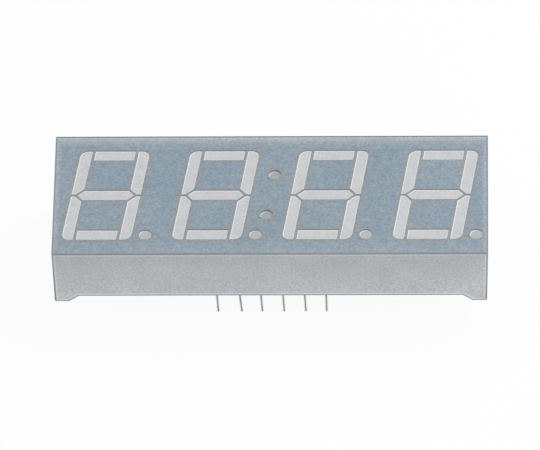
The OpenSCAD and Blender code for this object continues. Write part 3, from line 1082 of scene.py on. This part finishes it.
def poured_back(deep, thin):
    """Adds the back of the pour to the cups' plugs: a pool that climbs its walls and its leads."""
    size = "NodeSocketFloat"
    tree, given = new_growth(
        "poured_back",
        [
            ("Width", size, 2 * fill_high.x),
            ("Depth", size, 2 * fill_high.y),
            ("Level", size, fill_low.z),
            ("Top", size, fill_low.z + POOL_DEPTH),
            ("Cell", size, 0.25 * MM),
            ("Wall Climb", size, 0.09 * MM),
            ("Wall Fade", size, 0.14 * MM),
            ("Ripple", size, 0.035 * MM),
            ("Ripple Size", size, 4 * MM),
            ("Lead Spacing", size, lead_spacing),
            ("Row Distance", size, row_distance),
            ("Lead Radius", size, 0.85 * lead_radius),
            ("Lead Climb", size, 0.22 * MM),
            ("Lead Reach", size, 0.42 * MM),
        ],
    )
    # The pool is a fine block. Its underside is the free surface, which rises at the walls
    wide = add(tree, "ShaderNodeMath", [given["Width"], given["Cell"]], operation="DIVIDE")
    long = add(tree, "ShaderNodeMath", [given["Depth"], given["Cell"]], operation="DIVIDE")
    tall = add(tree, "ShaderNodeMath", [given["Top"], given["Level"]], operation="SUBTRACT")
    block = add(
        tree,
        "GeometryNodeMeshCube",
        {
            "Size": add(tree, "ShaderNodeCombineXYZ", [given["Width"], given["Depth"], tall]),
            "Vertices X": wide,
            "Vertices Y": long,
            "Vertices Z": 2,
        },
    )
    middle = add(tree, "ShaderNodeMath", [tall, 0.5, given["Level"]], operation="MULTIPLY_ADD")
    lift = add(tree, "ShaderNodeCombineXYZ", {"Z": middle})
    block = add(tree, "GeometryNodeTransform", {"Geometry": block, "Translation": lift})
    place = add(tree, "GeometryNodeInputPosition")
    at = add(tree, "ShaderNodeSeparateXYZ", [place]).outputs
    gaps = []
    for axis, span in (("X", "Width"), ("Y", "Depth")):
        half = add(tree, "ShaderNodeMath", [given[span], 0.5], operation="MULTIPLY")
        out = add(tree, "ShaderNodeMath", [at[axis]], operation="ABSOLUTE")
        gaps.append(add(tree, "ShaderNodeMath", [out, half], operation="SUBTRACT"))
    from_wall = add(tree, "ShaderNodeMath", gaps, operation="MAXIMUM")
    fade = add(tree, "ShaderNodeMath", [from_wall, given["Wall Fade"]], operation="DIVIDE")
    fade = add(tree, "ShaderNodeMath", [fade], operation="EXPONENT")
    climb = add(tree, "ShaderNodeMath", [fade, given["Wall Climb"]], operation="MULTIPLY")
    often = add(tree, "ShaderNodeMath", [1.0, given["Ripple Size"]], operation="DIVIDE")
    waves = add(tree, "ShaderNodeTexNoise", {"Vector": place, "Scale": often, "Detail": 2.0})
    waves = add(tree, "ShaderNodeMath", [waves, 0.5], operation="SUBTRACT")
    ripple = add(tree, "ShaderNodeMath", [waves, given["Ripple"]], operation="MULTIPLY")
    drop = add(tree, "ShaderNodeMath", [ripple, climb], operation="SUBTRACT")
    under = add(tree, "FunctionNodeCompare", {"A": at["Z"], "B": middle}, operation="LESS_THAN")
    drop = add(tree, "ShaderNodeCombineXYZ", {"Z": drop})
    pool = add(
        tree, "GeometryNodeSetPosition", {"Geometry": block, "Selection": under, "Offset": drop}
    )
    # A collar at each lead: a flat strip, rolled up round the lead and drawn down along it
    strip = add(
        tree,
        "GeometryNodeMeshGrid",
        {
            "Size X": 1.0,
            "Size Y": 1.0,
            "Vertices X": COLLAR_SIDES + 1,
            "Vertices Y": COLLAR_RINGS,
        },
    )
    turn = add(tree, "ShaderNodeMath", [at["X"], 2 * math.pi], operation="MULTIPLY")
    share = add(tree, "ShaderNodeMath", [at["Y"], 0.5], operation="ADD")
    radius = add(
        tree,
        "ShaderNodeMath",
        [share, given["Lead Reach"], given["Lead Radius"]],
        operation="MULTIPLY_ADD",
    )
    left = add(tree, "ShaderNodeMath", [1.0, share], operation="SUBTRACT")
    left = add(tree, "ShaderNodeMath", [left, COLLAR_CURVE], operation="POWER")
    height = add(tree, "ShaderNodeMath", [left, given["Lead Climb"]], operation="MULTIPLY")
    height = add(tree, "ShaderNodeMath", [COLLAR_ROOT, height], operation="SUBTRACT")
    rolled = add(
        tree,
        "ShaderNodeVectorRotate",
        {"Vector": add(tree, "ShaderNodeCombineXYZ", {"X": radius, "Z": height}), "Angle": turn},
        rotation_type="Z_AXIS",
    )
    collar = add(tree, "GeometryNodeSetPosition", {"Geometry": strip, "Position": rolled})
    collar = add(
        tree, "GeometryNodeMergeByDistance", {"Geometry": collar, "Distance": COLLAR_WELD}
    )
    reach = add(
        tree, "ShaderNodeMath", [given["Lead Spacing"], LEADS_A_ROW - 1.0], operation="MULTIPLY"
    )
    leads = add(
        tree,
        "GeometryNodeMeshGrid",
        {
            "Size X": reach,
            "Size Y": given["Row Distance"],
            "Vertices X": LEADS_A_ROW,
            "Vertices Y": 2,
        },
    )
    down = add(tree, "ShaderNodeCombineXYZ", {"Z": given["Level"]})
    leads = add(tree, "GeometryNodeTransform", {"Geometry": leads, "Translation": down})
    collars = add(tree, "GeometryNodeInstanceOnPoints", {"Points": leads, "Instance": collar})
    collars = add(tree, "GeometryNodeRealizeInstances", [collars])
    # The board shows only through the free surface, so only that is thin
    whole = add(tree, "GeometryNodeJoinGeometry")
    for part in (collars, pool):
        tree.links.new(part.outputs[0], whole.inputs[0])
    tree.links.new(given["Geometry"], whole.inputs[0])
    smooth = add(tree, "GeometryNodeSetShadeSmooth", {"Geometry": whole, "Shade Smooth": True})
    solid = add(tree, "GeometryNodeSetMaterial", {"Geometry": smooth, "Material": deep})
    facing = add(tree, "ShaderNodeSeparateXYZ", [add(tree, "GeometryNodeInputNormal")]).outputs["Z"]
    down = add(tree, "FunctionNodeCompare", {"A": facing, "B": -UPRIGHT}, operation="LESS_THAN")
    free = add(tree, "FunctionNodeBooleanMath", [under, down], operation="AND")
    clear = add(
        tree, "GeometryNodeSetMaterial", {"Geometry": solid, "Selection": free, "Material": thin}
    )
    add(tree, "NodeGroupOutput", [clear])
    return tree


cup_epoxy = milky_epoxy("milky_casting_epoxy", 1.0)
thin_epoxy = milky_epoxy("thin_milky_epoxy", 0.78)
fill = grow(fill_plugs(), poured_back(cup_epoxy, thin_epoxy))
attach(fill, "root")
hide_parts("epoxy_fill")


# ---------------------------------------------------------------------------------------------
# Studio: a white sheet under the block, a soft lamp high on its right, a weaker one low in front
# and an even sky. The sheet shows nearly white and keeps the block's shadow.

TILT = math.radians(45.976)
TURN = math.radians(-1.851)
ROLL = math.radians(1.484)
DISTANCE = 1.18
FRAMING = Vector((0.09, 3.495, 0)) * MM
LENS = 681
SENSOR = 36
FLOOR_REACH = 3.0


def point_camera():
    """Looks down on the face's middle from the front, a hair from the left and slightly rolled."""
    seen_from = (
        Matrix.Rotation(ROLL, 3, "Z")
        @ Matrix.Rotation(TILT - math.pi / 2, 3, "X")
        @ Matrix.Rotation(TURN, 3, "Z")
    )
    turn = seen_from.transposed()
    place = Vector((0, 0, cad_high.z)) + turn @ (Vector((0, 0, DISTANCE)) - FRAMING)
    data = bpy.data.cameras.new("camera")
    data.lens = LENS
    data.sensor_width = SENSOR
    data.clip_start = 0.01
    data.clip_end = 20
    camera = bpy.data.objects.new("camera", data)
    camera.matrix_world = Matrix.Translation(place) @ turn.to_4x4()
    bpy.context.scene.collection.objects.link(camera)
    bpy.context.scene.camera = camera


def studio_paper():
    """Matt white paper: shows nearly white to the eye and to anything shiny, shadow included."""
    material, tree, place = new_material("white_studio_paper")
    fibres = add(
        tree, "ShaderNodeTexNoise", {"Vector": place, "Scale": 1 / (0.4 * MM), "Detail": 3.0}
    )
    colour = add(
        tree,
        "ShaderNodeMix",
        {"Factor": fibres, "A": linear("eff0f0"), "B": linear("f4f4f4")},
        data_type="RGBA",
    )
    paper = add(tree, "ShaderNodeBsdfDiffuse", {"Color": colour})
    glow = add(tree, "ShaderNodeEmission", {"Color": (1, 1, 1, 1), "Strength": 1.0})
    path = add(tree, "ShaderNodeLightPath").outputs
    seen = add(
        tree,
        "ShaderNodeMath",
        [path["Is Camera Ray"], path["Is Glossy Ray"]],
        operation="MAXIMUM",
    )
    seen = add(tree, "ShaderNodeMath", [seen, path["Is Transmission Ray"]], operation="MAXIMUM")
    share = add(tree, "ShaderNodeMath", [seen, 0.93], operation="MULTIPLY")
    surface = add(tree, "ShaderNodeMixShader", [share, paper, glow])
    add(tree, "ShaderNodeOutputMaterial", {"Surface": surface})
    return material


def lay_floor():
    """The sheet that the block stands on, at the height of the leads' tips."""
    mesh = bpy.data.meshes.new("floor")
    signs = ((-1, -1), (1, -1), (1, 1), (-1, 1))
    corners = [(x * FLOOR_REACH, y * FLOOR_REACH, cad_low.z) for x, y in signs]
    mesh.from_pydata(corners, [], [(0, 1, 2, 3)])
    mesh.materials.append(studio_paper())
    floor = bpy.data.objects.new("floor", mesh)
    bpy.context.scene.collection.objects.link(floor)


def hang_lamp(name, azimuth, elevation, distance, size, energy):
    """A soft square lamp that faces the block. Azimuth 0 is behind it, and 90 is on its right."""
    a, e = math.radians(azimuth), math.radians(elevation)
    way = Vector((math.sin(a) * math.cos(e), math.cos(a) * math.cos(e), math.sin(e)))
    data = bpy.data.lights.new(name, "AREA")
    data.size = size
    data.energy = energy
    lamp = bpy.data.objects.new(name, data)
    facing = way.to_track_quat("Z", "Y").to_matrix().to_4x4()
    lamp.matrix_world = Matrix.Translation(way * distance) @ facing
    bpy.context.scene.collection.objects.link(lamp)


def light_sky():
    """An even white light from all round."""
    world = bpy.data.worlds.new("studio")
    world.use_nodes = True
    tree = world.node_tree
    tree.nodes.clear()
    sky = add(tree, "ShaderNodeBackground", {"Color": (1, 1, 1, 1), "Strength": 0.66})
    add(tree, "ShaderNodeOutputWorld", {"Surface": sky})
    bpy.context.scene.world = world


point_camera()
lay_floor()
hang_lamp("key", azimuth=60, elevation=52, distance=0.5, size=0.3, energy=1.1)
hang_lamp("front", azimuth=160, elevation=18, distance=0.9, size=0.5, energy=1.6)
light_sky()
bpy.context.scene.view_settings.view_transform = "Standard"
